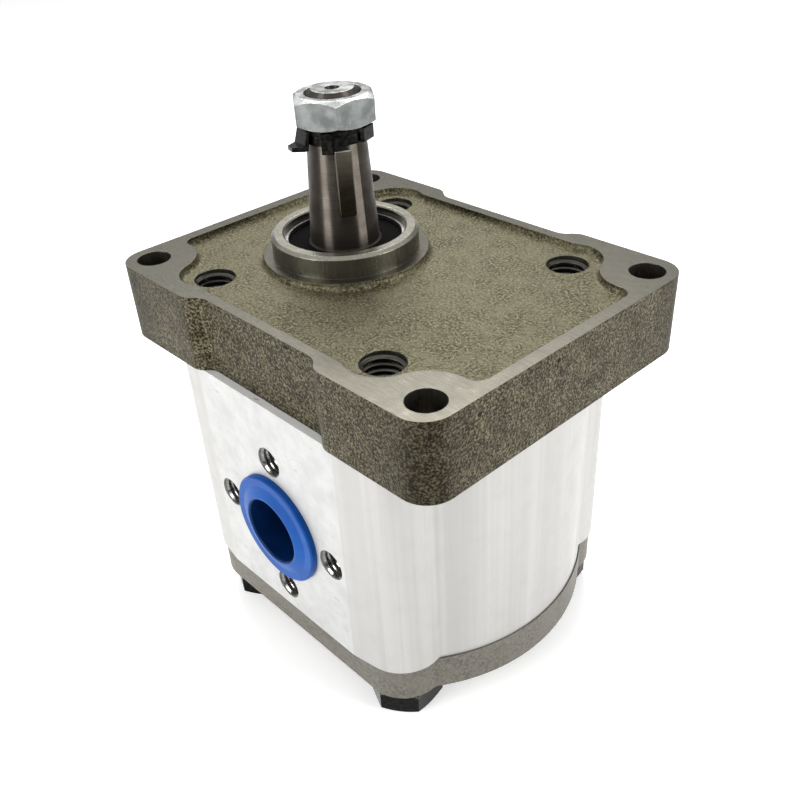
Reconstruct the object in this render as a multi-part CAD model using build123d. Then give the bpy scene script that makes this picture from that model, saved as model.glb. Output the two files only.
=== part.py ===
"""Hydraulic gear pump with a rectangular four-bolt flange and a 1:8 tapered drive shaft.

Millimetres.  The origin is the centre of the pilot on the flange's mounting face, +Z runs
out along the drive shaft and +X runs from the drive shaft to the driven gear.
"""
from math import acos, asin, atan2, copysign, cos, hypot, pi, radians, sin, sqrt, tan
import os

from build123d import *

# Flange and pilot
CENTRE_X = 15.6                 # middle of the hole pattern, the body and the two gears
HOLE_SPACING_X = 96.2
HOLE_SPACING_Y = 71.5
MOUNT_HOLE_R = 4.2
FLANGE_LENGTH = 109.8
FLANGE_WIDTH = 86.0
FLANGE_CORNER_R = 7.0
FLANGE_THICKNESS = 19.5
RECESS_DEPTH = 3.0              # long sides step in between the corner lobes
RECESS_HALF = 18.5
RECESS_BLEND = 6.8
PILOT_R = 18.25
PILOT_HEIGHT = 5.5
PILOT_CHAMFER = 0.8
POCKET_DEPTH = 1.8              # cast floor below the machined rim
POCKET_HALF_X = 51.6
POCKET_HALF_Y = 37.3
POCKET_BULGE_R = 8.3            # pocket widens round each tapped hole
POCKET_FLOOR_FILLET = 1.2
POCKET_CORNER_FILLET = 3.0
PILOT_PAD_R = 20.6
SEAL_BORE_R = 15.0
SEAL_BORE_FLOOR = -4.6
SEAL_RELIEF_R = 12.0
SEAL_RELIEF_FLOOR = -8.0
SHAFT_CLEARANCE_R = 9.6
RING_GROOVE_R = 15.7
RING_GROOVE_Z = 2.4
RING_GROOVE_WIDTH = 1.3

# Body and rear cover
BODY_LENGTH = 63.8
BODY_PAD_Y = 42.0               # port faces stand proud of the corner lobes
BODY_PAD_HALF = 25.0
BODY_LOBE_R = 11.0
BODY_END_R = 48.6
BODY_END_OFFSET = 1.0
BODY_KINK_FILLET = 2.0
KINK_SEARCH = 4.0               # the kinks lie this near the bolt rows
COVER_THICKNESS = 10.6
COVER_LOBE_R = 10.4
COVER_END_R = 49.0
COVER_EDGE = 0.5
BODY_TOP = -FLANGE_THICKNESS
BODY_BOTTOM = BODY_TOP - BODY_LENGTH
COVER_BOTTOM = BODY_BOTTOM - COVER_THICKNESS

# Body bolts, M10
BOLT_SPACING = 60.0
BOLT_R = 5.0
BOLT_TIP_CHAMFER = 1.0
BOLT_TIP_Z = -8.0
BOLT_HEAD_AF = 17.0
BOLT_HEAD_HEIGHT = 7.4
BOLT_WASHER_FACE = 0.5
BOLT_HEAD_PHASE = -24.0
BOLT_CLEARANCE_R = 5.25
TAPPED_CLEARANCE = 0.03

# Gears
CENTRE_DISTANCE = 2 * CENTRE_X
TEETH = 12
PITCH_R = CENTRE_DISTANCE / 2
PRESSURE_ANGLE = radians(25)
TIP_R = 18.3
ROOT_R = 12.5
BACKLASH = 0.2
FLANK_POINTS = 6
GEAR_WIDTH = 32.5
GEAR_BORE_R = 18.4
AXIAL_GAP = 0.05
GEAR_MIDDLE = BODY_TOP - BODY_LENGTH / 2
GEAR_TOP = GEAR_MIDDLE + GEAR_WIDTH / 2
GEAR_BOTTOM = GEAR_MIDDLE - GEAR_WIDTH / 2
JOURNAL_R = 9.0
JOURNAL_CHAMFER = 0.8
JOURNAL_END_GAP = 0.6

# Bearing blocks, bushes and their seals
BLOCK_SIDE_GAP = 0.03
BUSH_R = 10.0
BUSH_BORE_R = 9.04
BLOCK_SEAL_R = 13.6             # centre line of the figure-eight seal round each journal
BLOCK_SEAL_WAIST = 5.0          # half width of the figure eight between the journals
BLOCK_SEAL_WIDTH = 1.6
BACKUP_WIDTH = 1.0
BLOCK_SEAL_DEPTH = 1.8
RELIEF_SLOT_WIDTH = 5.0         # trapped-oil relief pockets in the gear side of each block
RELIEF_SLOT_LENGTH = 6.0
RELIEF_SLOT_OFFSET = 7.0
RELIEF_SLOT_DEPTH = 2.0
BODY_SEAL_R = 21.8              # centre line of the ring groove round the gear bores
BODY_SEAL_WIDTH = 2.2
BODY_SEAL_DEPTH = 1.9

# Dowels
DOWEL_OFFSET = 43.0
DOWEL_R = 3.0
DOWEL_DEPTH = 6.0
DOWEL_END_GAP = 0.5

# Shaft seal and its parts
SEAL_LIP_R = 9.02
SEAL_SECTION = [                # (radius, z) from the dust lip down to the seat of the spring
    (11.4, 2.4), (9.6, 2.7), (SEAL_LIP_R, 2.5), (9.5, 1.3), (10.2, 0.5), (9.9, -0.8), (SEAL_LIP_R, -2.6),
    (9.5, -3.9), (10.9, -3.9), (10.9, -1.4),
]
CASE_WALL = 0.8
CASE_INNER_R = 11.4
CASE_OUTER_R = 14.2
CASE_TOP = 0.2
SPRING_R = 10.9
SPRING_WIRE_R = 0.7
SPRING_Z = -2.6
RETAINER_THICKNESS = 1.2
RETAINER_INNER_R = 14.1
RETAINER_OUTER_R = 15.6
RETAINER_ANGLE = -39.0          # direction of the gap
RETAINER_GAP_ANGLE = 24.0
RETAINER_EYE_ANGLE = 5.0
RETAINER_EYE_CIRCLE_R = 14.0
RETAINER_LUG_R = 1.5
RETAINER_EYE_R = 0.8

# Drive shaft end
TAPER_START_Z = 3.0
TAPER_R = 8.61
TAPER_TOP_Z = 27.8
TAPER_RATIO = 8.0
STUD_R = 6.0
STUD_TOP_Z = 38.9
STUD_CHAMFER = 1.0
STUD_NECK_R = 5.1
STUD_NECK_LENGTH = 1.6
CENTRE_HOLE_R = 1.7
CENTRE_PILOT_R = 0.8
CENTRE_HOLE_DEPTH = 4.5
COUNTERSINK_ANGLE = radians(30)
KEY_WIDTH = 4.0
KEY_DISC_R = 8.0
KEY_HEIGHT = 6.5
KEY_DEPTH = 5.0                 # from the taper down to the bottom of the keyway
KEY_MIDDLE_Z = 19.3
KEY_ANGLE = -31.0
KEY_EDGE = 0.25

# Nut and washers on the shaft end
SPRING_WASHER_THICKNESS = 2.3
SPRING_WASHER_R = 7.8
SPRING_WASHER_GAP = 1.0
SPRING_WASHER_ANGLE = 150.0     # direction of the split
SPRING_WASHER_SLANT = 20.0
WASHER_BORE_R = 6.15
WASHER_R = 7.9
TAB_WASHER_THICKNESS = 1.0
TAB_SPLAYED_ANGLE = -105.0
TAB_WIDTH = 5.6
TAB_TIP_WIDTH = 2.4
TAB_KNEE_R = 9.4                # where the splayed lug turns outwards again
TAB_KNEE_Z = 26.7
TAB_REACH = 11.8
FOLDED_TABS = [(18.0, 4.4, 28.0), (-54.0, 2.6, 26.3)]   # angle, width, height of the lower end
NUT_AF = 18.0
NUT_HEIGHT = 7.0
NUT_FACE_R = 8.4
NUT_MOUTH = 0.6
NUT_PHASE = -36.0
HEX_CHAMFER_ANGLE = radians(30)

# Ports
PORT_Z = -56.0
INLET_R = 10.0
INLET_BOLT_CIRCLE_R = 20.0
INLET_THREAD_R = 4.0
INLET_THREAD_DEPTH = 14.0
OUTLET_R = 6.75
OUTLET_BOLT_CIRCLE_R = 15.0
OUTLET_THREAD_R = 3.0
OUTLET_THREAD_DEPTH = 12.0
PORT_REACH = 36.0
DRILL_POINT = radians(59)

# Blanking plugs in the ports
PLUG_FIT = 0.05
PLUG_WALL = 1.2
PLUG_DISC_THICKNESS = 1.7
PLUG_RIM_HEIGHT = 0.9
INLET_PLUG_DISC_R = 14.8
INLET_PLUG_DEPTH = 11.0
OUTLET_PLUG_DISC_R = 10.8
OUTLET_PLUG_DEPTH = 9.0
PLUG_EDGE = 0.4
PLUG_DRAFT = 0.3
PLUG_SLOPE = 2.6

BOLT_POINTS = [(CENTRE_X + i * BOLT_SPACING / 2, j * BOLT_SPACING / 2) for i in (-1, 1) for j in (-1, 1)]
MOUNT_POINTS = [
    (CENTRE_X + i * HOLE_SPACING_X / 2, j * HOLE_SPACING_Y / 2) for i in (-1, 1) for j in (-1, 1)
]
GEAR_CENTRES = [(0.0, 0.0), (CENTRE_DISTANCE, 0.0)]


def rod(radius, z_low, z_high, x=0.0, y=0.0):
    """Cylinder along Z between two heights."""
    return Pos(x, y, z_low) * extrude(Circle(radius), z_high - z_low)


def four_way(quarter):
    """Closed face from a quarter outline drawn about the middle of the pump, low side first."""
    half = quarter + mirror(quarter, Plane.XZ)
    return Pos(CENTRE_X, 0) * make_face(half + mirror(half, Plane.YZ))


def turned(points, x=0.0, y=0.0):
    """Solid of revolution about a Z axis from (radius, z) points."""
    profile = make_face(Polyline(*[(r, 0, z) for r, z in points], close=True))
    return Pos(x, y, 0) * revolve(profile, Axis.Z)


def hexagon_head(across_flats, face_r, height):
    """Hexagon of a given height standing on Z=0, its corners turned off at both ends."""
    corner_r = across_flats / sqrt(3)
    outside_r = corner_r + 1
    drop = (outside_r - face_r) * tan(HEX_CHAMFER_ANGLE)
    envelope = turned([
        (0, 0), (face_r, 0), (outside_r, drop), (outside_r, height - drop), (face_r, height), (0, height),
    ])
    return extrude(RegularPolygon(corner_r, 6), height) & envelope


def lobed_quarter(flat_y, pad_half, lobe_r, end_r):
    """Quarter outline of the body or cover: port face, corner lobe, curved end."""
    lobe = BOLT_SPACING / 2
    reach = hypot(lobe - pad_half, flat_y - lobe)
    run = sqrt(reach**2 - lobe_r**2)
    slope = atan2(flat_y - lobe, lobe - pad_half) - asin(lobe_r / reach)
    leave = (pad_half + run * cos(slope), run * sin(slope) - flat_y)
    apart = hypot(lobe - BODY_END_OFFSET, lobe)
    turn = acos((lobe_r**2 + apart**2 - end_r**2) / (2 * lobe_r * apart))
    meet_angle = atan2(lobe, BODY_END_OFFSET - lobe) - turn
    meet = (lobe + lobe_r * cos(meet_angle), lobe_r * sin(meet_angle) - lobe)
    middle = (atan2(leave[1] + lobe, leave[0] - lobe) + meet_angle) / 2
    corner = (lobe + lobe_r * cos(middle), lobe_r * sin(middle) - lobe)
    belly_angle = atan2(meet[1], meet[0] - BODY_END_OFFSET) / 2
    belly = (BODY_END_OFFSET + end_r * cos(belly_angle), end_r * sin(belly_angle))
    edges = Curve() + Line((0, -flat_y), (pad_half, -flat_y))
    edges += Line((pad_half, -flat_y), leave)
    edges += ThreePointArc(leave, corner, meet)
    edges += ThreePointArc(meet, belly, (BODY_END_OFFSET + end_r, 0))
    return edges


def lobed_block(quarter, height):
    """Extruded body or cover with the four inward kinks beside the lobes rounded."""
    block = extrude(four_way(quarter), height)
    lobe = BOLT_SPACING / 2
    past_lobe = lobe + BODY_LOBE_R / 2
    upright = block.edges().filter_by(Axis.Z)
    kinks = [
        e for e in upright
        if abs(e.center().X - CENTRE_X) > past_lobe and abs(abs(e.center().Y) - lobe) < KINK_SEARCH
    ]
    return fillet(kinks, BODY_KINK_FILLET)


def flange_quarter():
    """Quarter outline of the flange: recessed side, S-shaped step, rounded corner."""
    edge_x = FLANGE_LENGTH / 2
    edge_y = FLANGE_WIDTH / 2
    start = (RECESS_HALF, RECESS_DEPTH - edge_y)
    half_way = (RECESS_HALF + RECESS_BLEND / 2, RECESS_DEPTH / 2 - edge_y)
    end = (RECESS_HALF + RECESS_BLEND, -edge_y)
    corner = (edge_x - FLANGE_CORNER_R, -edge_y)
    edges = Curve() + Line((0, start[1]), start)
    edges += TangentArc(start, half_way, tangent=(1, 0))
    edges += TangentArc(end, half_way, tangent=(-1, 0))
    edges += Line(end, corner)
    edges += JernArc(corner, (1, 0), FLANGE_CORNER_R, 90)
    edges += Line((edge_x, FLANGE_CORNER_R - edge_y), (edge_x, 0))
    return edges


def pocket_quarter():
    """Quarter outline of the cast pocket inside the machined rim."""
    bolt = BOLT_SPACING / 2
    hole = (HOLE_SPACING_X / 2, HOLE_SPACING_Y / 2)
    apart = hypot(hole[0] - bolt, hole[1] - bolt)
    boss_r = apart - POCKET_BULGE_R
    lean = atan2(bolt - hole[1], hole[0] - bolt)
    swap = (bolt + POCKET_BULGE_R * cos(lean), POCKET_BULGE_R * sin(lean) - bolt)
    start_x = bolt - sqrt(POCKET_BULGE_R**2 - (POCKET_HALF_Y - bolt) ** 2)
    wall_y = sqrt(boss_r**2 - (POCKET_HALF_X - hole[0]) ** 2) - hole[1]
    wall_angle = atan2(wall_y + hole[1], POCKET_HALF_X - hole[0])
    middle = (wall_angle + atan2(swap[1] + hole[1], swap[0] - hole[0])) / 2
    crest = (hole[0] + boss_r * cos(middle), boss_r * sin(middle) - hole[1])
    edges = Curve() + Line((0, -POCKET_HALF_Y), (start_x, -POCKET_HALF_Y))
    edges += ThreePointArc((start_x, -POCKET_HALF_Y), (bolt, -bolt - POCKET_BULGE_R), swap)
    edges += ThreePointArc(swap, crest, (POCKET_HALF_X, wall_y))
    edges += Line((POCKET_HALF_X, wall_y), (POCKET_HALF_X, 0))
    return edges


def pocket_cutter():
    """Material taken out between the machined rim and the pad round the pilot."""
    face = four_way(pocket_quarter())
    corners = face.vertices().sort_by(lambda v: -abs(v.X - CENTRE_X))[:4]
    cutter = extrude(fillet(corners, POCKET_CORNER_FILLET), 2 * POCKET_DEPTH)
    cutter -= rod(PILOT_PAD_R, 0, 2 * POCKET_DEPTH)
    floor = cutter.faces().sort_by(Axis.Z)[0]
    return Pos(0, 0, -POCKET_DEPTH) * fillet(floor.edges(), POCKET_FLOOR_FILLET)


def make_flange():
    """Cast flange with its pilot, seal housing, mounting holes and tapped body-bolt holes."""
    plate = Pos(0, 0, BODY_TOP) * extrude(four_way(flange_quarter()), FLANGE_THICKNESS)
    plate -= pocket_cutter()
    shoulder = PILOT_HEIGHT - PILOT_CHAMFER
    pilot = [(0, -1), (PILOT_R, -1), (PILOT_R, shoulder), (PILOT_R - PILOT_CHAMFER, PILOT_HEIGHT)]
    plate += turned(pilot + [(0, PILOT_HEIGHT)])
    mouth = PILOT_CHAMFER / 2
    bore = [
        (0, BODY_TOP), (SHAFT_CLEARANCE_R, BODY_TOP), (SHAFT_CLEARANCE_R, SEAL_RELIEF_FLOOR),
        (SEAL_RELIEF_R, SEAL_RELIEF_FLOOR), (SEAL_RELIEF_R, SEAL_BORE_FLOOR), (SEAL_BORE_R, SEAL_BORE_FLOOR),
        (SEAL_BORE_R, RING_GROOVE_Z), (RING_GROOVE_R, RING_GROOVE_Z),
        (RING_GROOVE_R, RING_GROOVE_Z + RING_GROOVE_WIDTH), (SEAL_BORE_R, RING_GROOVE_Z + RING_GROOVE_WIDTH),
        (SEAL_BORE_R, PILOT_HEIGHT - mouth), (SEAL_BORE_R + mouth, PILOT_HEIGHT), (0, PILOT_HEIGHT),
    ]
    plate -= turned(bore)
    for x, y in MOUNT_POINTS:
        plate -= rod(MOUNT_HOLE_R, BODY_TOP, 0, x, y)
    for x, y in BOLT_POINTS:
        plate -= rod(BOLT_R + TAPPED_CLEARANCE, BODY_TOP, 0, x, y)
    for x in (CENTRE_X - DOWEL_OFFSET, CENTRE_X + DOWEL_OFFSET):
        plate -= rod(DOWEL_R, BODY_TOP, BODY_TOP + DOWEL_DEPTH, x)
    return plate


def gear_chamber(radius, z_low, z_high):
    """Figure-eight prism swept by two circles on the gear centres."""
    shape = rod(radius, z_low, z_high)
    return shape + rod(radius, z_low, z_high, CENTRE_DISTANCE)


def stadium_ring(middle_r, width, z_low, z_high):
    """Ring of constant width following a stadium round both gear bores."""
    outer = SlotCenterToCenter(CENTRE_DISTANCE, 2 * middle_r + width)
    inner = SlotCenterToCenter(CENTRE_DISTANCE, 2 * middle_r - width)
    return Pos(CENTRE_X, 0, z_low) * extrude(outer - inner, z_high - z_low)


def port_drilling(side, radius, thread_r, circle_r, thread_depth):
    """Port and its four threaded blind holes, drilled inwards from one port face."""
    bore = extrude(Circle(radius), PORT_REACH)
    point = thread_depth + thread_r / tan(DRILL_POINT)
    hole = turned([(0, 0), (thread_r, 0), (thread_r, thread_depth), (0, point)])
    for angle in (0, 90, 180, 270):
        bore += Rot(0, 0, angle) * Pos(circle_r, 0, 0) * hole
    return Pos(CENTRE_X, side * BODY_PAD_Y, PORT_Z) * Rot(side * 90, 0, 0) * bore


def make_body():
    """Extruded body with the gear chamber, ports, bolt holes, dowel holes and seal grooves."""
    quarter = lobed_quarter(BODY_PAD_Y, BODY_PAD_HALF, BODY_LOBE_R, BODY_END_R)
    body = Pos(0, 0, BODY_BOTTOM) * lobed_block(quarter, BODY_LENGTH)
    body -= gear_chamber(GEAR_BORE_R, BODY_BOTTOM, BODY_TOP)
    body -= port_drilling(-1, INLET_R, INLET_THREAD_R, INLET_BOLT_CIRCLE_R, INLET_THREAD_DEPTH)
    body -= port_drilling(1, OUTLET_R, OUTLET_THREAD_R, OUTLET_BOLT_CIRCLE_R, OUTLET_THREAD_DEPTH)
    for x, y in BOLT_POINTS:
        body -= rod(BOLT_CLEARANCE_R, BODY_BOTTOM, BODY_TOP, x, y)
    for x in (CENTRE_X - DOWEL_OFFSET, CENTRE_X + DOWEL_OFFSET):
        body -= rod(DOWEL_R, BODY_BOTTOM, BODY_BOTTOM + DOWEL_DEPTH, x)
        body -= rod(DOWEL_R, BODY_TOP - DOWEL_DEPTH, BODY_TOP, x)
    body -= stadium_ring(BODY_SEAL_R, BODY_SEAL_WIDTH, BODY_TOP - BODY_SEAL_DEPTH, BODY_TOP)
    body -= stadium_ring(BODY_SEAL_R, BODY_SEAL_WIDTH, BODY_BOTTOM, BODY_BOTTOM + BODY_SEAL_DEPTH)
    return body


def make_cover():
    """Cast rear cover with bolt and dowel holes and a softened outer edge."""
    quarter = lobed_quarter(BOLT_SPACING / 2 + COVER_LOBE_R, BODY_PAD_HALF, COVER_LOBE_R, COVER_END_R)
    cover = lobed_block(quarter, COVER_THICKNESS)
    rim = cover.faces().sort_by(Axis.Z)[0].edges()
    cover = Pos(0, 0, COVER_BOTTOM) * chamfer(rim, COVER_EDGE)
    for x, y in BOLT_POINTS:
        cover -= rod(BOLT_CLEARANCE_R, COVER_BOTTOM, BODY_BOTTOM, x, y)
    for x in (CENTRE_X - DOWEL_OFFSET, CENTRE_X + DOWEL_OFFSET):
        cover -= rod(DOWEL_R, BODY_BOTTOM - DOWEL_DEPTH, BODY_BOTTOM, x)
    return cover


def make_body_bolts():
    """Four hexagon bolts through cover and body, threaded into the flange."""
    shank = rod(BOLT_R, COVER_BOTTOM - BOLT_WASHER_FACE, BOLT_TIP_Z)
    shank = chamfer(shank.faces().sort_by(Axis.Z)[-1].edges(), BOLT_TIP_CHAMFER)
    half = BOLT_HEAD_AF / 2
    washer_face = rod(half - BOLT_WASHER_FACE / 2, COVER_BOTTOM - BOLT_WASHER_FACE, COVER_BOTTOM)
    head = hexagon_head(BOLT_HEAD_AF, half - BOLT_WASHER_FACE, BOLT_HEAD_HEIGHT - BOLT_WASHER_FACE)
    head = Pos(0, 0, COVER_BOTTOM - BOLT_HEAD_HEIGHT) * Rot(0, 0, BOLT_HEAD_PHASE) * head
    return [Pos(x, y, 0) * (head + washer_face + shank) for x, y in BOLT_POINTS]


def make_dowels():
    """Four dowel pins, two in each joint face."""
    pin = extrude(Circle(DOWEL_R), DOWEL_DEPTH - DOWEL_END_GAP, both=True)
    pin = chamfer(pin.edges().filter_by(GeomType.CIRCLE), DOWEL_END_GAP)
    xs = (CENTRE_X - DOWEL_OFFSET, CENTRE_X + DOWEL_OFFSET)
    return [Pos(x, 0, z) * pin for z in (BODY_TOP, BODY_BOTTOM) for x in xs]


def eight_face(radius, half_waist):
    """Figure-eight outline round both journals, filled across its waist."""
    face = Circle(radius) + Pos(CENTRE_DISTANCE, 0) * Circle(radius)
    return face + Pos(CENTRE_X, 0) * Rectangle(CENTRE_DISTANCE, 2 * half_waist)


def eight_band(inner, outer, z_low, z_high):
    """Figure-eight ring between two distances from its guiding line."""
    large = eight_face(BLOCK_SEAL_R + outer, BLOCK_SEAL_WAIST + outer)
    small = eight_face(BLOCK_SEAL_R + inner, BLOCK_SEAL_WAIST + inner)
    return Pos(0, 0, z_low) * extrude(large - small, z_high - z_low)


def make_block(outer_z, inner_z):
    """Pressure-balanced bearing block; the seal groove is in the face away from the gears."""
    low = min(outer_z, inner_z)
    high = max(outer_z, inner_z)
    groove_floor = outer_z - copysign(BLOCK_SEAL_DEPTH, outer_z - inner_z)
    block = gear_chamber(GEAR_BORE_R - BLOCK_SIDE_GAP, low, high)
    for x, y in GEAR_CENTRES:
        block -= rod(BUSH_R, low, high, x, y)
    groove = (min(outer_z, groove_floor), max(outer_z, groove_floor))
    block -= eight_band(-BLOCK_SEAL_WIDTH / 2, BLOCK_SEAL_WIDTH / 2 + BACKUP_WIDTH, *groove)
    slot = Box(RELIEF_SLOT_LENGTH, RELIEF_SLOT_WIDTH, 2 * RELIEF_SLOT_DEPTH)
    for side in (-1, 1):
        block -= Pos(CENTRE_X, side * RELIEF_SLOT_OFFSET, inner_z) * slot
    return block


def make_bushes(z_low, z_high):
    """Two journal bushes pressed into one bearing block."""
    return [rod(BUSH_R, z_low, z_high, x) - rod(BUSH_BORE_R, z_low, z_high, x) for x, y in GEAR_CENTRES]


def involute_half_angle(radius):
    """Half the angle filled by one tooth at a radius outside the base circle."""
    at_pitch = (pi * PITCH_R / TEETH - BACKLASH / 2) / 2 / PITCH_R
    local = acos(PITCH_R * cos(PRESSURE_ANGLE) / radius)
    return at_pitch + tan(PRESSURE_ANGLE) - PRESSURE_ANGLE - tan(local) + local


def polar(radius, angle):
    """Point at a radius and an angle in radians."""
    return (radius * cos(angle), radius * sin(angle))


def gear_face():
    """Spur gear outline: involute flanks, radial feet, arcs at tip and root."""
    base = PITCH_R * cos(PRESSURE_ANGLE)
    radii = [base + (TIP_R - base) * (i / FLANK_POINTS) ** 2 for i in range(FLANK_POINTS + 1)]
    foot = involute_half_angle(base)
    tip = involute_half_angle(TIP_R)
    pitch = 2 * pi / TEETH
    edges = Curve()
    for tooth in range(TEETH):
        a = tooth * pitch
        edges += Line(polar(ROOT_R, a - foot), polar(base, a - foot))
        edges += Spline(*[polar(r, a - involute_half_angle(r)) for r in radii])
        edges += ThreePointArc(polar(TIP_R, a - tip), polar(TIP_R, a), polar(TIP_R, a + tip))
        edges += Spline(*[polar(r, a + involute_half_angle(r)) for r in reversed(radii)])
        edges += Line(polar(base, a + foot), polar(ROOT_R, a + foot))
        edges += ThreePointArc(
            polar(ROOT_R, a + foot), polar(ROOT_R, a + pitch / 2), polar(ROOT_R, a + pitch - foot)
        )
    return make_face(edges)


def toothed_ring():
    """Gear teeth at their working height, one tooth pointing along +X."""
    ring = extrude(gear_face(), GEAR_WIDTH - 2 * AXIAL_GAP)
    return Pos(0, 0, GEAR_BOTTOM + AXIAL_GAP) * ring


def make_drive_gear_shaft():
    """Drive gear made in one piece with its journals, seal land, 1:8 taper and threaded stud."""
    low = BODY_BOTTOM + JOURNAL_END_GAP
    taper_end_r = TAPER_R - (TAPER_TOP_Z - TAPER_START_Z) / (2 * TAPER_RATIO)
    step = JOURNAL_R - TAPER_R
    countersink = (CENTRE_HOLE_R - CENTRE_PILOT_R) / tan(COUNTERSINK_ANGLE)
    shaft = turned([
        (0, low), (JOURNAL_R - JOURNAL_CHAMFER, low), (JOURNAL_R, low + JOURNAL_CHAMFER),
        (JOURNAL_R, TAPER_START_Z - step), (TAPER_R, TAPER_START_Z), (taper_end_r, TAPER_TOP_Z),
        (STUD_NECK_R, TAPER_TOP_Z), (STUD_NECK_R, TAPER_TOP_Z + STUD_NECK_LENGTH),
        (STUD_R, TAPER_TOP_Z + STUD_NECK_LENGTH + STUD_R - STUD_NECK_R), (STUD_R, STUD_TOP_Z - STUD_CHAMFER),
        (STUD_R - STUD_CHAMFER, STUD_TOP_Z), (CENTRE_HOLE_R, STUD_TOP_Z),
        (CENTRE_PILOT_R, STUD_TOP_Z - countersink), (CENTRE_PILOT_R, STUD_TOP_Z - CENTRE_HOLE_DEPTH),
        (0, STUD_TOP_Z - CENTRE_HOLE_DEPTH - CENTRE_PILOT_R),
    ])
    return shaft + toothed_ring() - Rot(0, 0, KEY_ANGLE) * key_disc()


def key_disc():
    """Disc that both the keyway cutter and the key share, in the XZ plane at angle zero."""
    seat_r = TAPER_R - (KEY_MIDDLE_Z - TAPER_START_Z) / (2 * TAPER_RATIO) - KEY_DEPTH
    disc = extrude(Plane.XZ * Circle(KEY_DISC_R), KEY_WIDTH / 2, both=True)
    return Pos(seat_r + KEY_DISC_R, 0, KEY_MIDDLE_Z) * disc


def make_key():
    """Woodruff key: the shared disc cut off flat, with softened edges."""
    disc = key_disc()
    box = disc.bounding_box()
    keep = Box(KEY_HEIGHT, KEY_WIDTH, 2 * KEY_DISC_R, align=(Align.MIN, Align.CENTER, Align.CENTER))
    key = disc & (Pos(box.min.X, 0, KEY_MIDDLE_Z) * keep)
    return Rot(0, 0, KEY_ANGLE) * chamfer(key.edges(), KEY_EDGE)


def make_driven_gear():
    """Driven gear and its two journals in one piece, set half a tooth round to mesh."""
    low = BODY_BOTTOM + JOURNAL_END_GAP
    high = BODY_TOP - JOURNAL_END_GAP
    shaft = turned([
        (0, low), (JOURNAL_R - JOURNAL_CHAMFER, low), (JOURNAL_R, low + JOURNAL_CHAMFER),
        (JOURNAL_R, high - JOURNAL_CHAMFER), (JOURNAL_R - JOURNAL_CHAMFER, high), (0, high),
    ])
    return Pos(CENTRE_DISTANCE, 0, 0) * Rot(0, 0, 180 / TEETH) * (shaft + toothed_ring())


def lug(profile, width, angle):
    """Bent lug of the tab washer: a radial profile given a width and turned to its place."""
    face = make_face(Polyline(*[(r, 0, z) for r, z in profile], close=True))
    return Rot(0, 0, angle) * extrude(face, width / 2, both=True)


def make_tab_washer():
    """Tab washer under the nut, with one splayed lug and two lugs folded down."""
    low = TAPER_TOP_Z + SPRING_WASHER_THICKNESS
    high = low + TAB_WASHER_THICKNESS
    thick = TAB_WASHER_THICKNESS
    washer = rod(WASHER_R, low, high) - rod(WASHER_BORE_R, low, high)
    root = (WASHER_R + WASHER_BORE_R) / 2
    splayed = lug([
        (root, high), (WASHER_R + thick / 2, high), (TAB_KNEE_R, TAB_KNEE_Z + thick),
        (TAB_REACH, TAB_KNEE_Z + thick), (TAB_REACH, TAB_KNEE_Z), (TAB_KNEE_R - thick, TAB_KNEE_Z),
        (WASHER_R, low), (root, low),
    ], TAB_WIDTH, 0)
    plan = make_face(Polyline(
        (0, -TAB_WIDTH / 2), (TAB_KNEE_R, -TAB_WIDTH / 2), (TAB_REACH, -TAB_TIP_WIDTH / 2),
        (TAB_REACH, TAB_TIP_WIDTH / 2), (TAB_KNEE_R, TAB_WIDTH / 2), (0, TAB_WIDTH / 2), close=True,
    ))
    splayed = Rot(0, 0, TAB_SPLAYED_ANGLE) * (splayed & extrude(plan, high))
    for angle, width, foot in FOLDED_TABS:
        profile = [(root, high), (WASHER_R + thick, high), (WASHER_R + thick, foot), (WASHER_R, foot)]
        washer += lug(profile + [(WASHER_R, low), (root, low)], width, angle)
    return washer + splayed


def make_spring_washer():
    """Split spring washer between the tab washer and the end of the taper."""
    high = TAPER_TOP_Z + SPRING_WASHER_THICKNESS
    ring = rod(SPRING_WASHER_R, TAPER_TOP_Z, high) - rod(WASHER_BORE_R, TAPER_TOP_Z, high)
    split = Pos(SPRING_WASHER_R, 0, high - SPRING_WASHER_THICKNESS / 2) * Rot(SPRING_WASHER_SLANT, 0, 0)
    cut = split * Box(SPRING_WASHER_R, SPRING_WASHER_GAP, 3 * SPRING_WASHER_THICKNESS)
    return ring - Rot(0, 0, SPRING_WASHER_ANGLE) * cut


def make_nut():
    """Thin hexagon nut chamfered on both faces."""
    low = TAPER_TOP_Z + SPRING_WASHER_THICKNESS + TAB_WASHER_THICKNESS
    bore_r = STUD_R + TAPPED_CLEARANCE
    nut = Rot(0, 0, NUT_PHASE) * hexagon_head(NUT_AF, NUT_FACE_R, NUT_HEIGHT)
    mouth = bore_r + NUT_MOUTH
    nut -= turned([
        (0, 0), (mouth, 0), (bore_r, NUT_MOUTH), (bore_r, NUT_HEIGHT - NUT_MOUTH), (mouth, NUT_HEIGHT),
        (0, NUT_HEIGHT),
    ])
    return Pos(0, 0, low) * nut


def make_shaft_seal():
    """Rubber lip seal body with a main lip, a dust lip and a seat for the garter spring."""
    outside = [(CASE_OUTER_R, SEAL_BORE_FLOOR), (SEAL_BORE_R, SEAL_BORE_FLOOR), (SEAL_BORE_R, RING_GROOVE_Z)]
    seal = turned(outside + SEAL_SECTION + [(CASE_INNER_R, CASE_TOP), (CASE_OUTER_R, CASE_TOP)])
    return seal - make_garter_spring()


def make_seal_case():
    """Steel stiffening case of the lip seal, angle shaped in section."""
    foot = SEAL_BORE_FLOOR + CASE_WALL / 2
    return turned([
        (CASE_OUTER_R, foot), (CASE_OUTER_R, CASE_TOP), (CASE_INNER_R, CASE_TOP),
        (CASE_INNER_R, CASE_TOP - CASE_WALL), (CASE_OUTER_R - CASE_WALL, CASE_TOP - CASE_WALL),
        (CASE_OUTER_R - CASE_WALL, foot),
    ])


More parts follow.
